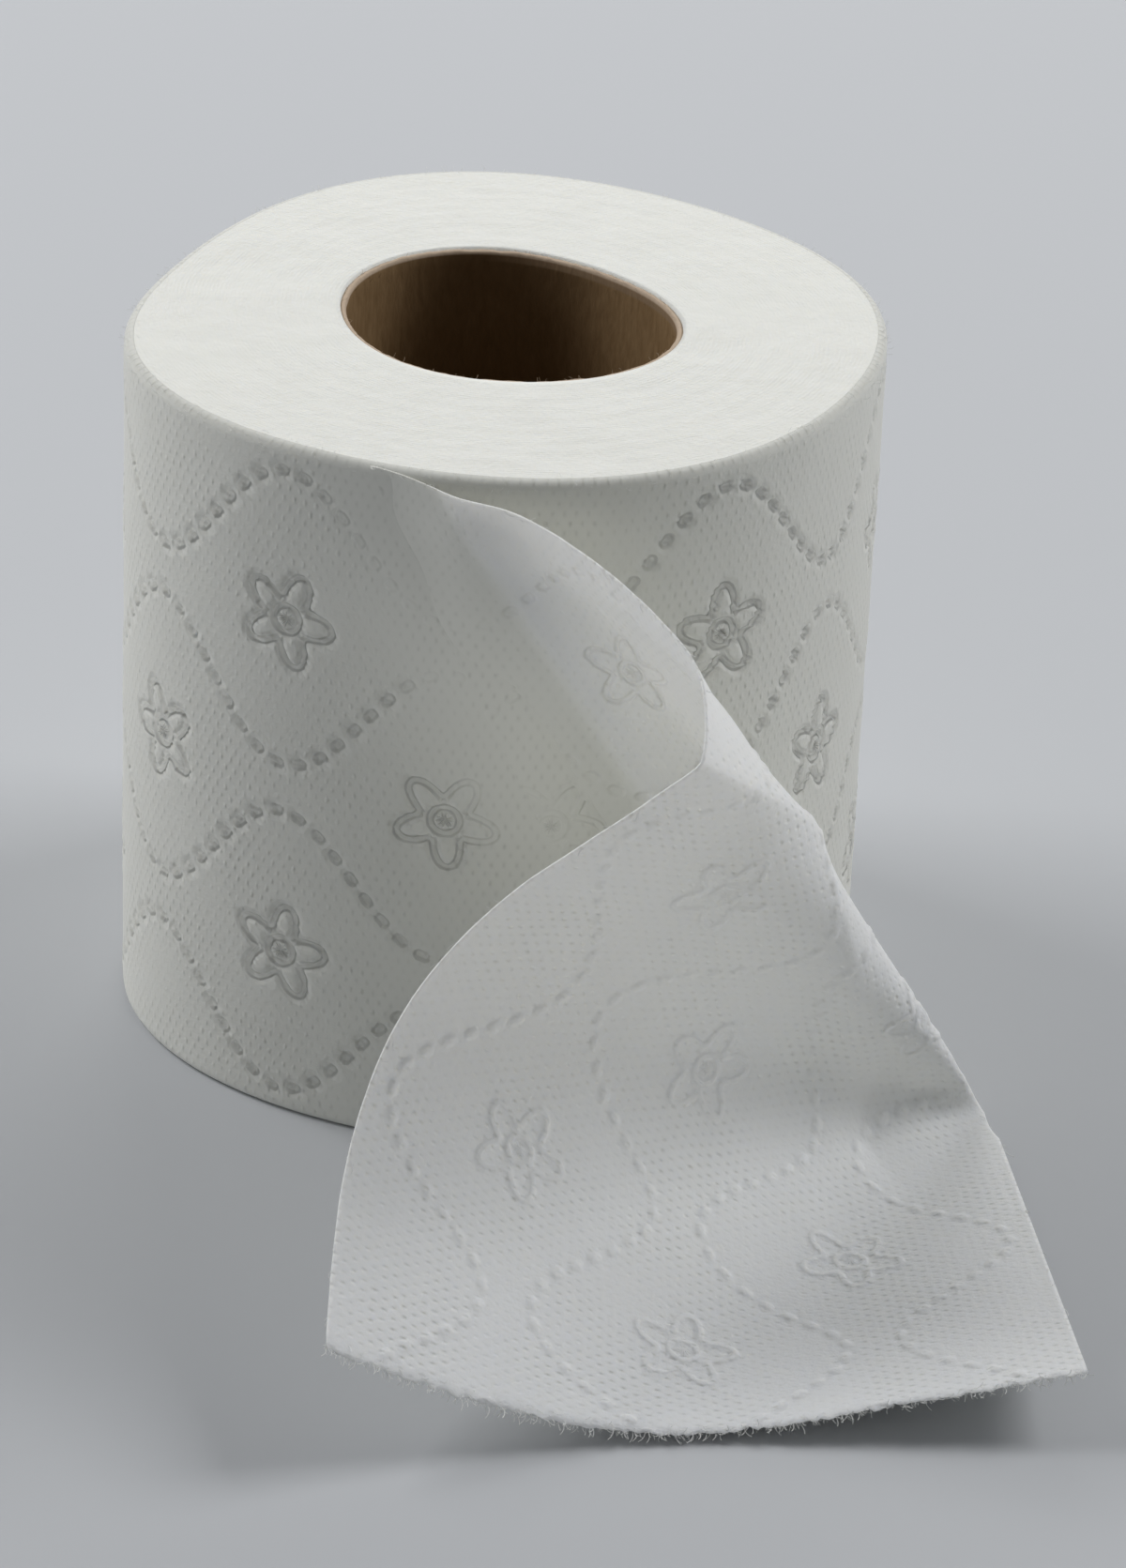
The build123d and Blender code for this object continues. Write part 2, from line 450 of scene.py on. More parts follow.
def cardboard_material():
    """Grey-brown recycled board with flecks, and with fibres that run along the tube."""
    material, tree, shader = new_material("cardboard", 0.85)
    place = wire(tree, "ShaderNodeTexCoord", output="Object")
    x, y, z = place.axis("X"), place.axis("Y"), place.axis("Z")
    stretched = place.vector("MULTIPLY", (1.0, 1.0, 0.35))
    fibres = noise(tree, stretched, 0.9 * MM, 4.0)
    cloud = noise(tree, place, 12.0 * MM, 3.0)
    board = mixed_colour(tree, fibres * 1.1 + cloud * 0.8 + 0.5, DARK_BOARD, PALE_BOARD)

    # painted shade darkens the middle of the far wall, where little light reaches; the rim is crushed at the
    # far right and pale where cut
    painted_shade = ease(y - x.math("ABSOLUTE") * 0.8, 2.0 * MM, 18.0 * MM)
    board = mixed_colour(tree, painted_shade * PAINTED_SHADE_SHARE, board, PAINTED_SHADE_BOARD)
    below_rim = CORE_TOP - z
    far_right = ease(x * 0.75 + y * 0.66, 11.0 * MM, 21.0 * MM)
    crushed = ease(below_rim, CRUSHED_DEPTH, CRUSHED_DEPTH * 0.75) * far_right
    board = mixed_colour(tree, crushed, board, CRUSHED_BOARD)
    cut = ease(below_rim, CUT_DEPTH, CUT_DEPTH * 0.5)
    connect(tree, mixed_colour(tree, cut, board, CUT_BOARD), shader, "Base Color")
    connect(tree, bump(tree, fibres, 0.12 * MM), shader, "Normal")
    return material


# pit_shade sets how much painted shade darkens the pits
WALL_TISSUE = tissue_material("wall_tissue", lattice=0.11, pit_shade=0.22, dots=0.3)
LOOSE_TISSUE = tissue_material("loose_tissue", lattice=0.11, pit_shade=0.2, dots=0.18)
REVERSE_TISSUE = tissue_material("reverse_tissue", lattice=0.2, pit_shade=0.35, dots=-0.06)
CUT_ENDS = cut_end_material()
FIBRE = plain_material("fibre", 0.9, PALE_FIBRE)
CARDBOARD = cardboard_material()
print("materials", [material.name for material in bpy.data.materials])

# %% [markdown]
# ## The wound roll
# The turns of a roll can't be told apart from a step away, so they are one closed ring: a bore, two cut
# ends with soft rims and the outer wall. It could be lathed, but the soft roll has settled out of round.
# So the tree carries a profile round two ovals at once. A profile point says how far across it lies, from
# the bore to the wall, how far it is set in from the wall, and how high it is.

# %% The profile of the roll, with closer rows where the eye is
WALL_ROWS = 124
TOP_ROWS = 34
BASE_ROWS = 10
RIM_ROWS = 5
BORE_ROWS = 3
RIM_SHARE = 0.998
WALL_SHARE = 0.999


def steps(first, last, count):
    return [first + (last - first) * index / count for index in range(count)]


def roll_profile():
    quarter = steps(0.0, pi / 2, RIM_ROWS)
    points = [(0.0, 0.0, height) for height in steps(0.0, WEB_WIDTH, BORE_ROWS)]
    points += [(across, RIM_ROUND * across, WEB_WIDTH) for across in steps(0.0, RIM_SHARE, TOP_ROWS)]
    points += [(RIM_SHARE, RIM_ROUND, WEB_WIDTH)]
    for turn in quarter:
        points.append((1.0, RIM_ROUND * (1 - sin(turn)), WEB_WIDTH - RIM_ROUND * (1 - cos(turn))))
    points += [(1.0, 0.0, height) for height in steps(WEB_WIDTH - RIM_ROUND, RIM_ROUND, WALL_ROWS)]
    points += [(1.0, RIM_ROUND * (1 - cos(turn)), RIM_ROUND * (1 - sin(turn))) for turn in quarter]
    points += [(1.0, RIM_ROUND, 0.0)]
    points += [(across, RIM_ROUND * across, 0.0) for across in steps(RIM_SHARE, 0.0, BASE_ROWS)]
    return points + points[:1]


profile = roll_profile()
print("profile rows", len(profile))

# %% Geometry tree: a profile carried round two ovals
STEPS_AROUND = 460
RIM_ANGLE = radians(252.0)
FOOT_ANGLE = radians(303.5)
DOT_DEPTH = 0.45 * MM
SHEET_DOT_DEPTH = 0.22 * MM
WALL_SWELL = 0.5 * MM
END_SWELL = 0.7 * MM
TURNS_IN_RELIEF = 9
TURN_RELIEF = 0.03 * MM
SLACK_REACH = 13.0 * MM
PLAIN_RIM = 2.0 * MM


def oval(angle, mean, lobes):
    """The radius of an oval at an angle, for wires and plain numbers alike."""
    radius = mean
    for order, height, crest in lobes:
        turned = (angle - crest) * order
        wave = turned.math("COSINE") if isinstance(turned, Wire) else cos(turned)
        radius = wave * height + radius
    return radius


def wall_swell(tree, angle, height):
    """Soft swells of the wall, the same for the roll and for the sheet that lies on it."""
    place = combine(tree, angle.math("COSINE") * ROLL_RADIUS, angle.math("SINE") * ROLL_RADIUS, height)
    return noise(tree, place, 30.0 * MM) * WALL_SWELL


def ring_grid(tree, rows, around):
    """A flat grid to be bent into a ring, with its share round the ring and its row in the profile."""
    counts = {"Size X": 1.0, "Size Y": 1.0, "Vertices X": around + 1.0, "Vertices Y": rows}
    grid = wire(tree, "GeometryNodeMeshGrid", counts)
    place = wire(tree, "GeometryNodeInputPosition")
    row = ((place.axis("Y") + 0.5) * (rows - 1.0)).math("ROUND")
    return grid, place.axis("X") + 0.5, row


def profile_point(tree, line, row):
    values = {"Geometry": line, "Value": wire(tree, "GeometryNodeInputPosition"), "Index": row}
    return wire(tree, "GeometryNodeSampleIndex", values, data_type="FLOAT_VECTOR")


def keep(tree, geometry, name, value, kind, domain):
    values = {"Geometry": geometry, "Name": name, "Value": value}
    return wire(tree, "GeometryNodeStoreNamedAttribute", values, data_type=kind, domain=domain)


def paint(tree, geometry, material, selection=True):
    values = {"Geometry": geometry, "Selection": selection, "Material": material}
    return wire(tree, "GeometryNodeSetMaterial", values)


def move(tree, geometry, place):
    return wire(tree, "GeometryNodeSetPosition", {"Geometry": geometry, "Position": place})


def kept(tree, name, kind):
    return wire(tree, "GeometryNodeInputNamedAttribute", (name,), data_type=kind)


def finish(tree, geometry, material):
    """Closes the seams of a piece, smooths it and gives it its material."""
    joined = wire(tree, "GeometryNodeMergeByDistance", {"Geometry": geometry, "Distance": 0.001 * MM})
    smooth = wire(tree, "GeometryNodeSetShadeSmooth", (joined,))
    return paint(tree, wire(tree, "GeometryNodeRealizeInstances", (smooth,)), material)


def roll_tree():
    tree = geometry_tree("wound_roll")
    line = takes(tree, "Profile")
    rows = takes(tree, "Profile rows", 10)
    around = takes(tree, "Steps around", STEPS_AROUND)
    roll_radius = takes(tree, "Roll radius", ROLL_RADIUS)
    core_radius = takes(tree, "Core radius", CORE_RADIUS)
    depth = takes(tree, "Dot depth", DOT_DEPTH)
    grid, share, row = ring_grid(tree, rows, around)
    point = profile_point(tree, line, row)
    across, inset, height = point.axis("X"), point.axis("Y"), point.axis("Z")
    seam = (1.0 - height / WEB_WIDTH) * (FOOT_ANGLE - RIM_ANGLE) + RIM_ANGLE
    angle = share * tau + seam - tau
    bore = oval(angle, core_radius, CORE_LOBES) + CORE_WALL
    wall = oval(angle, roll_radius, ROLL_LOBES)

    # the flat web round the wall, and the turns across the ends
    on_wall = across.math("GREATER_THAN", WALL_SHARE)
    along = (angle - RIM_ANGLE) * roll_radius
    flat = combine(tree, along, height)
    turn = across * (wall - bore) + angle / tau * TURN_PITCH
    unrolled = combine(tree, along, height * on_wall + turn * (1.0 - on_wall))
    grid = keep(tree, grid, "flat", unrolled, "FLOAT2", "CORNER")
    grid = keep(tree, grid, "end", across.math("LESS_THAN", WALL_SHARE), "BOOLEAN", "FACE")

    # relief: dots and soft swells on the wall, faint turns and swells on the upper end
    swell = wall_swell(tree, angle, height)
    from_seam = share.math("MINIMUM", 1.0 - share) * roll_radius * tau
    slack = ease(from_seam, SLACK_REACH, SLACK_REACH * 0.2)
    grid = keep(tree, grid, "slack", slack, "FLOAT", "POINT")
    below_rim = ease(height, WEB_WIDTH - PLAIN_RIM * 0.15, WEB_WIDTH - PLAIN_RIM)
    sunk = pressed(tree, flat) * depth * (1.0 - slack) * on_wall * below_rim
    radius = bore + (wall - bore) * across - inset + swell * ease(across, 0.9, 1.0) - sunk
    off_centre = 1.0 - across
    x = angle.math("COSINE") * radius + off_centre * CORE_CENTRE[0]
    y = angle.math("SINE") * radius + off_centre * CORE_CENTRE[1]
    on_top = ease(across, 0.0, 0.05) * height.math("GREATER_THAN", WEB_WIDTH * 0.9) * ease(across, 1.0, 0.8)
    spiral = ((across * TURNS_IN_RELIEF + angle / tau) * tau).math("SINE") * TURN_RELIEF
    face_place = combine(tree, x, y)
    top = (noise(tree, face_place, 14.0 * MM) * END_SWELL + spiral) * on_top
    outwards = combine(tree, angle.math("COSINE"), angle.math("SINE"), 0.7)
    rim = ease(height, WEB_WIDTH - RIM_ROUND * 1.5, WEB_WIDTH - RIM_ROUND) * ease(across, 0.97, 1.0)
    grid = keep(tree, grid, "frayed", rim, "FLOAT", "POINT")
    grid = keep(tree, grid, "along", outwards, "FLOAT_VECTOR", "POINT")
    ring = move(tree, grid, combine(tree, x, y, height + top))
    ring = finish(tree, ring, takes(tree, "Wall", WALL_TISSUE))
    ring = paint(tree, ring, takes(tree, "Ends", CUT_ENDS), kept(tree, "end", "BOOLEAN"))
    gives(tree, Geometry=ring)
    return tree


roll = grow("wound_roll", roll_tree(), line_mesh("roll_profile", profile), {"Profile rows": len(profile)})

# %% [markdown]
# ## The cardboard core
# A tube of two plies of board, wound in a spiral and cut through, so its rim shows a thin pale edge. The
# same carrying of a profile round an oval makes it; the profile is a thin closed loop with worn corners.

# %% Geometry tree: the tube
CORE_ROWS = 60
RIM_WEAR = 0.3 * MM
SEAM_PITCH = 62.0 * MM
SEAM_STEP = 0.16 * MM


def core_profile():
    low, high = CORE_RECESS, CORE_TOP
    worn = RIM_WEAR / CORE_WALL
    points = [(0.0, 0.0, height) for height in steps(low + RIM_WEAR, high - RIM_WEAR, CORE_ROWS)]
    points += [(0.0, 0.0, high - RIM_WEAR), (worn * 0.3, 0.0, high - RIM_WEAR * 0.3), (worn, 0.0, high)]
    points += [(1.0 - worn, 0.0, high), (1.0 - worn * 0.3, 0.0, high - RIM_WEAR * 0.3)]
    points += [(1.0, 0.0, high - RIM_WEAR), (1.0, 0.0, low + RIM_WEAR)]
    points += [(1.0 - worn, 0.0, low), (worn, 0.0, low)]
    return points + points[:1]


def core_tree():
    tree = geometry_tree("cardboard_tube")
    line = takes(tree, "Profile")
    rows = takes(tree, "Profile rows", 10)
    around = takes(tree, "Steps around", 180)
    core_radius = takes(tree, "Core radius", CORE_RADIUS)
    wall = takes(tree, "Core wall", CORE_WALL)
    grid, share, row = ring_grid(tree, rows, around)
    point = profile_point(tree, line, row)
    angle = share * tau
    inside = 1.0 - point.axis("X")

    # the inner ply's edge climbs the tube in a spiral and stands a little proud
    climb = (point.axis("Z") / SEAM_PITCH + share).math("FRACT")
    ply = ease(climb, 0.0, 0.02) * (1.0 - climb) * SEAM_STEP
    radius = oval(angle, core_radius, CORE_LOBES) + point.axis("X") * wall + ply * inside
    frayed = noise(tree, combine(tree, angle * 12.0, point.axis("X")), 1.0) * 0.5 * MM
    lift = frayed * point.axis("Z").math("GREATER_THAN", CORE_TOP - RIM_WEAR * 0.5)
    x = angle.math("COSINE") * radius + CORE_CENTRE[0]
    y = angle.math("SINE") * radius + CORE_CENTRE[1]
    rim = ease(point.axis("Z"), CORE_TOP - RIM_WEAR * 2, CORE_TOP - RIM_WEAR)
    grid = keep(tree, grid, "frayed", rim, "FLOAT", "POINT")
    inwards = combine(tree, angle.math("COSINE") * -0.6, angle.math("SINE") * -0.6, 1.0)
    grid = keep(tree, grid, "along", inwards, "FLOAT_VECTOR", "POINT")
    tube = move(tree, grid, combine(tree, x, y, point.axis("Z") + lift))
    gives(tree, Geometry=finish(tree, tube, takes(tree, "Board", CARDBOARD)))
    return tree


tube_profile = core_profile()
core = grow("cardboard_tube", core_tree(), line_mesh("tube_profile", tube_profile),
            {"Profile rows": len(tube_profile)})

# %% [markdown]
# ## The loose end
# Paper bends but doesn't stretch. Where it is bent in two directions at once, all its creases run to one
# point, here on the lower edge of the web, and the sheet is a cone: a fan of straight lines from that
# point. So the fold could be sculpted, but it is true paper if it is made from a fan. The base mesh is the
# path that the fan's lines trace on a ball of radius one. The fan doesn't stretch, so the length along
# that path is the direction in the flat web, and the tree finds a point's line by its direction alone.

# %% The fan of lines, bent where the paper bends
FOOT_HEIGHT = 0.35 * MM
HEADING = radians(8.0)
LEAN = radians(-4.5)
FOOT_TO_FAN = 39.6 * MM
ROLL_TO_FAN = 83.5 * MM
TAIL_LENGTH = 160.0 * MM
BENDS = ((150.5, 108.0, 75.0), (115.5, 92.5, 115.0), (95.5, 45.5, -90.0), (54.0, 20.0, -45.5))
FAN_STEPS = 720


def turned(direction):
    """How far the fan has turned in all, in degrees, from the standing plane to a direction."""
    total = 0.0
    for first, last, turn in BENDS:
        share = min(max((first - direction) / (first - last), 0.0), 1.0)
        total += turn * (share - sin(tau * share) / tau)
    return total


def fan_lines():
    heading = Vector((cos(HEADING), sin(HEADING), 0.0))
    outward = Vector((heading.y, -heading.x, 0.0))
    upward = Vector((0.0, 0.0, cos(LEAN))) + outward * sin(LEAN)
    foot_radius = oval(FOOT_ANGLE, ROLL_RADIUS, ROLL_LOBES)
    foot = Vector((foot_radius * cos(FOOT_ANGLE), foot_radius * sin(FOOT_ANGLE), FOOT_HEIGHT))
    step = 180.0 / FAN_STEPS
    lines = []
    for index in range(FAN_STEPS + 1):
        direction = 180.0 - index * step
        line = heading * cos(radians(direction)) + upward * sin(radians(direction))
        lines.append(line)
        bend = turned(direction - step / 2) - turned(direction + step / 2)
        fold = Matrix.Rotation(radians(bend), 3, -line)
        heading = fold @ heading
        upward = fold @ upward
    return foot + Vector((cos(HEADING), sin(HEADING), 0.0)) * FOOT_TO_FAN, lines


fan_centre, lines = fan_lines()
print("fan centre", tuple(round(value, 4) for value in fan_centre), "lines", len(lines))

# %% Geometry tree: the sheet on the fan
SHEET_ALONG = 210
SHEET_ACROSS = 190
SHEET_THICKNESS = 0.32 * MM
CLING = 0.2 * MM
SINK = 0.9 * MM
SINK_REACH_AT_RIM = 15.0 * MM
SINK_REACH_AT_FOOT = 28.0 * MM
FREE_HEIGHT = 0.9 * MM
START_SLANT = 0.9
LEAVING_SOFTNESS = 4.0 * MM
LEAVING_CURVE = 65.0 * MM
LEAVING_REACH = 26.0 * MM
LEAVING_BLEND = 13.0 * MM
TEAR_WANDER = 1.4 * MM
WANDER_PITCH = 9.0 * MM
TEAR_NICKS = 3.4 * MM
NICK_PITCH = 1.4 * MM
TUFT_PITCH = 3.6 * MM
TUFT_LENGTH = 24.0 * MM
TUFT_SHARE = 0.18
EDGE_WAVE = 0.8 * MM
EDGE_WAVE_PITCH = 16.0 * MM
EDGE_WAVE_REACH = 12.0 * MM
TORN_STRIP = 0.015
TORN_FRAY = 0.5
TUFT_FRAY = 8.0
SIDE_STRIP = 0.008
SIDE_FRAY = 0.12
FRAY_THINNING = 2.5
MOST_THINNING = 0.8
APEX_SOFTNESS = 9.0 * MM
APEX_ROUNDS = 14

# Ridges of the crumpled sheet: two ends in the flat web, height towards the inner face, half width and
# how round the crest is
CREASES = (
    ((10.2, 107.0), (14.0, 72.0), -1.5, 11.0, 2.5),
    ((6.0, 90.0), (52.0, 88.0), -1.7, 10.0, 2.5),
    ((64.6, 105.0), (63.3, 58.0), 2.0, 8.0, 0.3),
    ((65.0, 61.6), (91.0, 20.4), 0.9, 8.0, 0.3),
    ((89.0, 21.0), (98.0, 17.0), -1.5, 10.0, 0.3),
    ((80.0, 9.0), (109.0, 25.4), -0.45, 7.0, 0.3),
)


def crease(along, across, first, last, half_width, roundness):
    """1 on a line of the flat web, falling off to both sides and towards its ends."""
    first = Vector(first) * MM
    run = Vector(last) * MM - first
    way = run.normalized()
    from_first = along - first.x
    above_first = across - first.y
    reached = from_first * way.x + above_first * way.y
    aside = from_first * way.y - above_first * way.x
    beyond = (reached * -1.0).math("MAXIMUM", reached - run.length)
    gap = (aside * aside + roundness ** 2).math("SQRT") / half_width
    tent = (1.0 - gap).math("MAXIMUM", 0.0)
    return tent * tent * ease(beyond, half_width, -half_width)


def sheet_tree():
    tree = geometry_tree("loose_end")
    path = wire(tree, "GeometryNodeMeshToCurve", (takes(tree, "Fan"),))
    width = takes(tree, "Web width", WEB_WIDTH)
    length = takes(tree, "Tail length", TAIL_LENGTH)
    to_fan = takes(tree, "Roll to fan", ROLL_TO_FAN)
    foot_to_fan = takes(tree, "Foot to fan", FOOT_TO_FAN)
    depth = takes(tree, "Dot depth", SHEET_DOT_DEPTH)
    thickness = takes(tree, "Thickness", SHEET_THICKNESS)
    counts = {"Size X": 1.0, "Size Y": 1.0, "Vertices X": SHEET_ALONG, "Vertices Y": SHEET_ACROSS}
    grid = wire(tree, "GeometryNodeMeshGrid", counts)
    place = wire(tree, "GeometryNodeInputPosition")
    share_along = place.axis("X") + 0.5
    share_across = place.axis("Y") + 0.5

    # the flat web, from the slanting line where it leaves the roll to the torn end
    across = share_across * width
    start = (to_fan - foot_to_fan) * (1.0 - share_across)
    edge = combine(tree, across)
    torn = noise(tree, edge, WANDER_PITCH) * TEAR_WANDER + noise(tree, edge, NICK_PITCH, 4.0) * TEAR_NICKS
    tuft = (noise(tree, edge, TUFT_PITCH, 1.0) - TUFT_SHARE).math("MAXIMUM", 0.0)
    torn = torn + tuft * TUFT_LENGTH
    along = start + (length + torn - start) * share_along
    flat = combine(tree, along, across)
    grid = keep(tree, grid, "flat", flat, "FLOAT2", "CORNER")
    torn_strip = ease(share_along, 1.0 - TORN_STRIP, 1.0) * (tuft * TUFT_FRAY + TORN_FRAY)
    side_strip = ease(share_across, 1.0 - SIDE_STRIP, 1.0) + ease(share_across, SIDE_STRIP, 0.0)
    grid = keep(tree, grid, "frayed", torn_strip + side_strip * SIDE_FRAY, "FLOAT", "POINT")

    # each point goes out along its own line of the fan
    reach = along - to_fan
    direction = across.math("ARCTAN2", reach)
    distance = combine(tree, reach, across).vector("LENGTH")
    found = {"Curves": path, "Length": pi - direction}
    sample = add_node(tree, "GeometryNodeSampleCurve", found, mode="LENGTH")
    line = Wire(tree, sample, "Position").vector("NORMALIZE")
    sideways = Wire(tree, sample, "Tangent")
    outer_side = sideways.vector("CROSS_PRODUCT", line)
    folded = line.vector("SCALE", distance).vector("ADD", tuple(fan_centre))
    grow_way = line.vector("SCALE", direction.math("COSINE"))
    grow_way = grow_way.vector("ADD", sideways.vector("SCALE", direction.math("SINE")))
    grid = keep(tree, grid, "along", grow_way, "FLOAT_VECTOR", "POINT")

    # the web lies on the wall until it leaves it, and its start is tucked under the wall
    from_start = (along - start) * START_SLANT
    leaving = from_start.math("SMOOTH_MIN", LEAVING_REACH, LEAVING_BLEND)
    cling = leaving * leaving / (2.0 * LEAVING_CURVE) + CLING
    slack = ease(from_start, SLACK_REACH, SLACK_REACH * 0.2)
    grid = keep(tree, grid, "slack", slack, "FLOAT", "POINT")
    flat_radius = combine(tree, folded.axis("X"), folded.axis("Y")).vector("LENGTH")
    angle = folded.axis("Y").math("ARCTAN2", folded.axis("X"))
    wall = oval(angle, ROLL_RADIUS, ROLL_LOBES) + wall_swell(tree, angle, folded.axis("Z"))
    clear = flat_radius.math("SMOOTH_MAX", wall + cling, LEAVING_SOFTNESS)
    sink_reach = (1.0 - share_across) * (SINK_REACH_AT_FOOT - SINK_REACH_AT_RIM) + SINK_REACH_AT_RIM
    clear = clear - ease(from_start, sink_reach, 0.0) * SINK
    grid = keep(tree, grid, "free", ease(clear - wall, CLING, FREE_HEIGHT), "FLOAT", "POINT")
    outwards = clear / flat_radius
    folded = folded.vector("MULTIPLY", combine(tree, outwards, outwards, 1.0))

    # pressed dots, waves of the upper edge, creases, and a soft point to the fan
    lift = pressed(tree, flat) * depth * (slack - 1.0)
    wave = noise(tree, combine(tree, along), EDGE_WAVE_PITCH) * ease(across, width - EDGE_WAVE_REACH, width)
    lift = lift + wave * EDGE_WAVE * ease(along, 0.0, EDGE_WAVE_REACH)
    for first, last, height, half_width, roundness in CREASES:
        ridge = crease(along, across, first, last, half_width * MM, roundness * MM)
        lift = lift - ridge * height * MM
    folded = folded.vector("ADD", outer_side.vector("SCALE", lift))
    near_apex = ease(distance, APEX_SOFTNESS, 0.0)
    soft = {"Value": folded, "Iterations": APEX_ROUNDS, "Weight": near_apex}
    soft = wire(tree, "GeometryNodeBlurAttribute", soft, data_type="FLOAT_VECTOR")
    sheet = move(tree, grid, soft)

    # the sheet gets its thickness, with the face of the paper on the new side
    thinned = 1.0 - (kept(tree, "frayed", "FLOAT") * FRAY_THINNING).math("MINIMUM", MOST_THINNING)
    shell = {"Mesh": sheet, "Offset Scale": thickness * thinned, "Individual": False}
    shell = add_node(tree, "GeometryNodeExtrudeMesh", shell)
    face = keep(tree, Wire(tree, shell, "Mesh"), "face", Wire(tree, shell, "Top"), "BOOLEAN", "FACE")
    both = add_node(tree, "GeometryNodeJoinGeometry", (face,))
    tree.links.new(wire(tree, "GeometryNodeFlipFaces", (sheet,)).socket, both.inputs[0])
    paper = finish(tree, Wire(tree, both), takes(tree, "Reverse", REVERSE_TISSUE))
    paper = paint(tree, paper, takes(tree, "Tissue", LOOSE_TISSUE), kept(tree, "face", "BOOLEAN"))
    gives(tree, Geometry=paper)
    return tree


loose_end = grow("loose_end", sheet_tree(), line_mesh("fan_lines", lines), {})

# %% [markdown]
# ## Loose fibres
# Tissue is torn, not cut, so fibres stand out of the torn end and a few out of every edge. A hair system
# could grow them, but a tree that scatters one bent hair over the frayed strips is enough. Each piece has
# kept two attributes for it: how frayed it is at a point, and which way a fibre leans there.

# %% Geometry tree: bent hairs on the frayed strips
FIBRE_SPREAD = 0.75
FIBRE_BEND = 0.3


def fibre_tree():
    tree = geometry_tree("fibres")
    piece = takes(tree, "Piece")
    density = takes(tree, "Fibres per square metre", 1.0e6)
    length = takes(tree, "Fibre length", 1.0 * MM)
    thickness = takes(tree, "Fibre thickness", 0.018 * MM)
    seed = takes(tree, "Seed", 1)
    spots = {"Mesh": piece, "Density": density * kept(tree, "frayed", "FLOAT"), "Seed": seed}
    spots = wire(tree, "GeometryNodeDistributePointsOnFaces", spots)
    stray = {"Min": (-1.0, -1.0, -1.0), "Max": (1.0, 1.0, 1.0), "Seed": seed}
    stray = wire(tree, "FunctionNodeRandomValue", stray, data_type="FLOAT_VECTOR")
    lean = kept(tree, "along", "FLOAT_VECTOR").vector("ADD", stray.vector("SCALE", FIBRE_SPREAD))
    turn = wire(tree, "FunctionNodeAlignRotationToVector", {"Vector": lean}, axis="Z")
    spin = wire(tree, "FunctionNodeRandomValue", {"Min": 0.0, "Max": tau, "Seed": seed}, data_type="FLOAT")
    spin = wire(tree, "FunctionNodeAxisAngleToRotation", {"Angle": spin})
    turn = wire(tree, "FunctionNodeRotateRotation", (turn, spin), rotation_space="LOCAL")
    hair = {"Start": (0.0, 0.0, 0.0), "Middle": (FIBRE_BEND, 0.0, 0.5), "End": (0.0, 0.0, 1.0)}
    hair = wire(tree, "GeometryNodeCurveQuadraticBezier", {"Resolution": 4, **hair})
    section = {"Resolution": 3, "Radius": length.math("POWER", -1.0) * thickness}
    section = wire(tree, "GeometryNodeCurvePrimitiveCircle", section)
    hair = wire(tree, "GeometryNodeCurveToMesh", {"Curve": hair, "Profile Curve": section})
    scale = wire(tree, "FunctionNodeRandomValue", {"Min": 0.3, "Max": 1.3, "Seed": seed}, data_type="FLOAT")
    hairs = {"Points": spots, "Instance": hair, "Rotation": turn, "Scale": length * scale}
    hairs = wire(tree, "GeometryNodeInstanceOnPoints", hairs)
    hairs = wire(tree, "GeometryNodeRealizeInstances", (hairs,))
    gives(tree, Geometry=paint(tree, hairs, takes(tree, "Fibre", FIBRE)))
    return tree


FIBRES = fibre_tree()
on_tear = {"Fibres per square metre": 9.0e6, "Fibre length": 1.3 * MM, "Seed": 4}
on_tear["Fibre thickness"] = 0.035 * MM
on_rim = {"Fibres per square metre": 0.7e6, "Fibre length": 0.8 * MM, "Seed": 7}
on_board = {"Fibres per square metre": 0.5e6, "Fibre length": 0.6 * MM, "Fibre": CARDBOARD, "Seed": 9}
torn_fibres = grow("torn_fibres", FIBRES, loose_end.data, on_tear)
rim_fibres = grow("rim_fibres", FIBRES, roll.data, on_rim)
core_fibres = grow("core_fibres", FIBRES, core.data, on_board)

# %% [markdown]
# ## The pieces and the frame
# Each piece rides on the body of the solid that it stands for, so that it stays where the solid is.

# %% Attach each piece to the root body and hide the solid it stands for
of_paper = (roll, loose_end, torn_fibres, rim_fibres)
of_board = (core, core_fibres)
for pieces, node, slot in ((of_paper, "paper_web", "paper"), (of_board, "cardboard_core", "cardboard")):
    for piece in pieces:
        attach(piece, "root")
        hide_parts(node)
print("pieces of paper", len(of_paper), "pieces of board", len(of_board))

# %% [markdown]
# ## Floor, light and camera
# The roll stands on a plain pale floor. Two broad lights, high on the left and the right and a little
# behind, draw the edges of the wall and leave the front in soft shade. Two low ones touch its sides, one
# behind lights the floor, and two weak narrow ones lift the sheet, on its reverse and where it leaves the
# roll. The camera is a long lens that looks down on it.

# %% Floor and lights
FLOOR_REACH = 4.0
PALE_FLOOR = (0.56, 0.574, 0.597, 1.0)
ROLL_MIDDLE = (0.0, 0.0, 0.05)
SHEET_MIDDLE = (0.034, -0.06, 0.02)
LEAVING_PLACE = (0.004, -0.058, 0.066)
WORLD_COLOUR = (0.95, 0.98, 1.0, 1.0)
WORLD_STRENGTH = 0.175


def make_floor():
    ends = (-FLOOR_REACH, FLOOR_REACH)
    mesh = bpy.data.meshes.new("floor")
    mesh.from_pydata([(x, y, 0.0) for y in ends for x in ends], [], [(0, 1, 3, 2)])
    mesh.materials.append(plain_material("pale_floor", 0.75, PALE_FLOOR))
    floor = bpy.data.objects.new("floor", mesh)
    bpy.context.scene.collection.objects.link(floor)


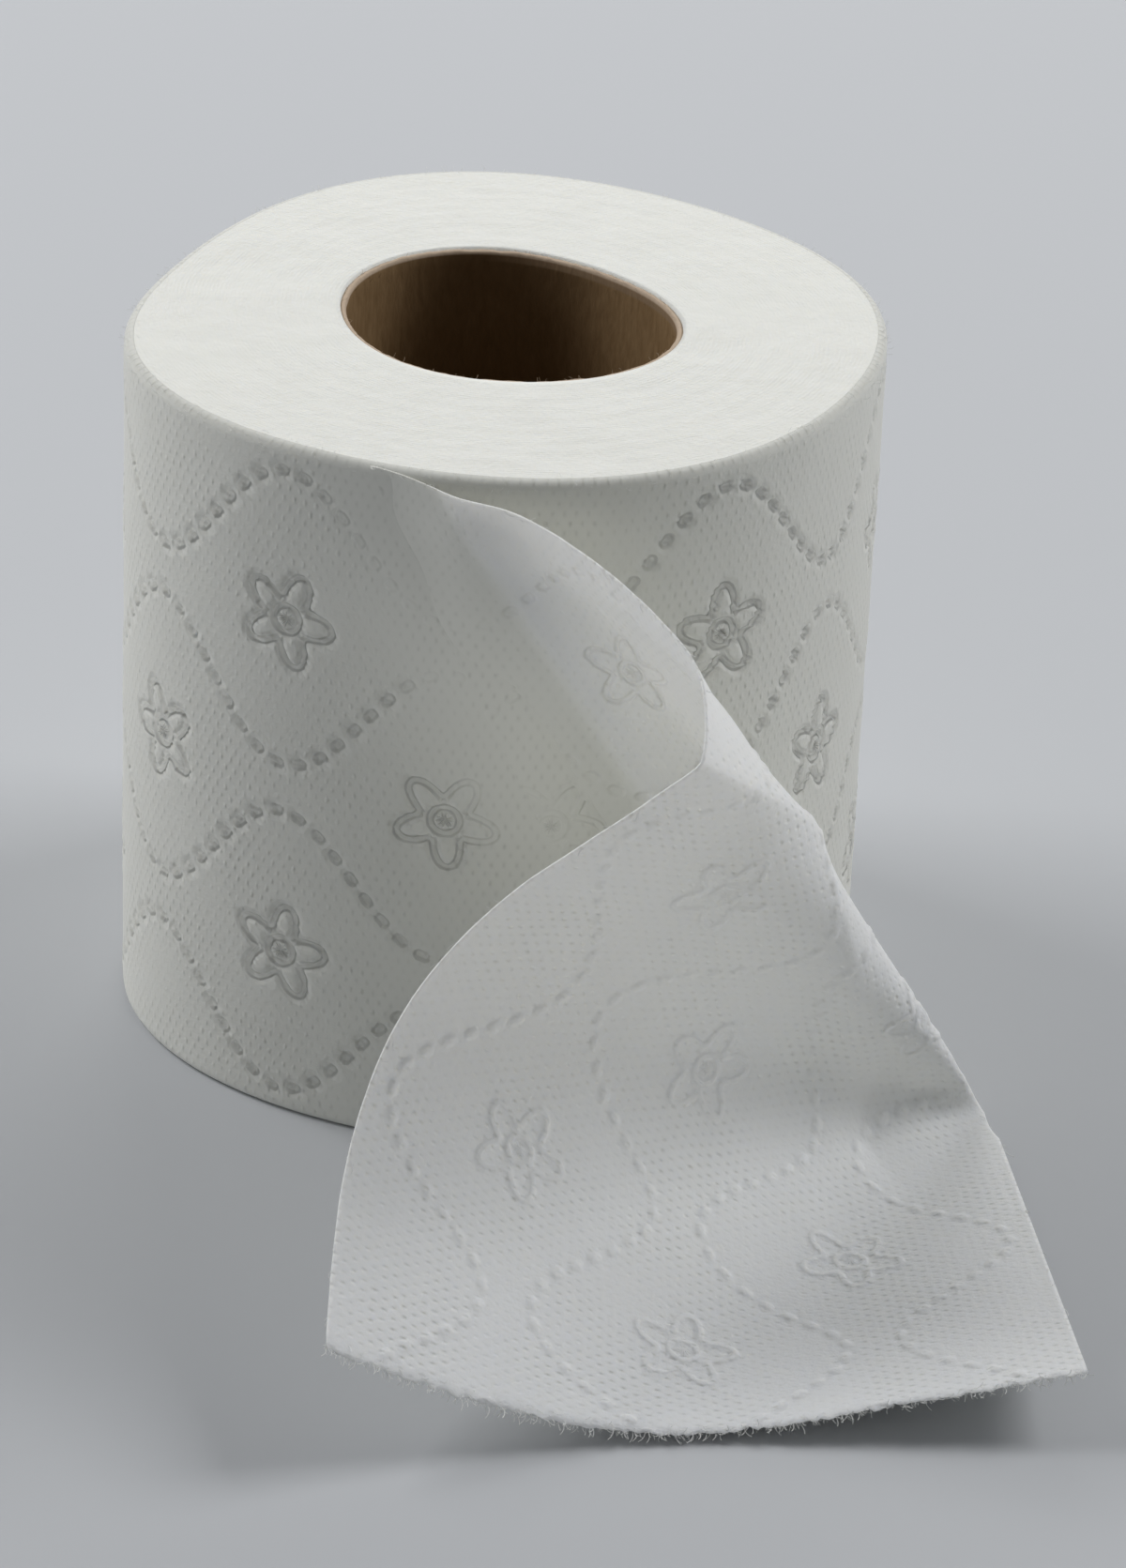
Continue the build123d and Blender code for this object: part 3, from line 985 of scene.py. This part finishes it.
def area_light(name, place, target, size, power, spread=180.0):
    light = bpy.data.lights.new(name, "AREA")
    light.size = size
    light.energy = power
    light.spread = radians(spread)
    lamp = bpy.data.objects.new(name, light)
    lamp.location = place
    lamp.rotation_euler = (Vector(target) - Vector(place)).to_track_quat("-Z", "Y").to_euler()
    bpy.context.scene.collection.objects.link(lamp)


make_floor()
area_light("left_softbox", (-0.8, 0.3, 0.8), ROLL_MIDDLE, 0.5, 5.85)
area_light("right_softbox", (0.8, 0.3, 0.8), ROLL_MIDDLE, 0.5, 5.95)
area_light("left_edge", (-0.85, 0.1, 0.25), ROLL_MIDDLE, 0.4, 0.9)
area_light("right_edge", (0.85, 0.1, 0.25), ROLL_MIDDLE, 0.4, 0.25)
area_light("behind", (0.0, 1.0, 0.35), ROLL_MIDDLE, 0.5, 2.0)
area_light("onto_the_sheet", (0.1, -0.75, 0.3), SHEET_MIDDLE, 0.02, 0.0003, 4.0)
area_light("into_the_fold", (-0.34, -0.34, 0.29), LEAVING_PLACE, 0.02, 0.00055, 6.0)
world = bpy.data.worlds.new("studio")
bpy.context.scene.world = world
world.use_nodes = True
world.node_tree.nodes["Background"].inputs["Color"].default_value = WORLD_COLOUR
world.node_tree.nodes["Background"].inputs["Strength"].default_value = WORLD_STRENGTH
bpy.context.scene.view_settings.view_transform = "Standard"
print("lights", [light.name for light in bpy.data.lights])

# %% Camera at the photograph's angle
PHOTO_HEIGHT = 1671
FOCAL_PIXELS = 6000.0
SENSOR = 36.0
CAMERA_PLACE = (9.615 * MM, -684.25 * MM, 375.63 * MM)
LOOK_DOWN = radians(27.0)
IMAGE_ROLL = radians(2.455)


def make_camera():
    data = bpy.data.cameras.new("camera")
    data.sensor_width = SENSOR
    data.lens = FOCAL_PIXELS * SENSOR / PHOTO_HEIGHT
    camera = bpy.data.objects.new("camera", data)
    level = Matrix.Rotation(pi / 2 - LOOK_DOWN, 4, "X") @ Matrix.Rotation(IMAGE_ROLL, 4, "Z")
    camera.matrix_world = Matrix.Translation(CAMERA_PLACE) @ level
    bpy.context.scene.collection.objects.link(camera)
    bpy.context.scene.camera = camera
    print("lens", round(data.lens, 2))


make_camera()
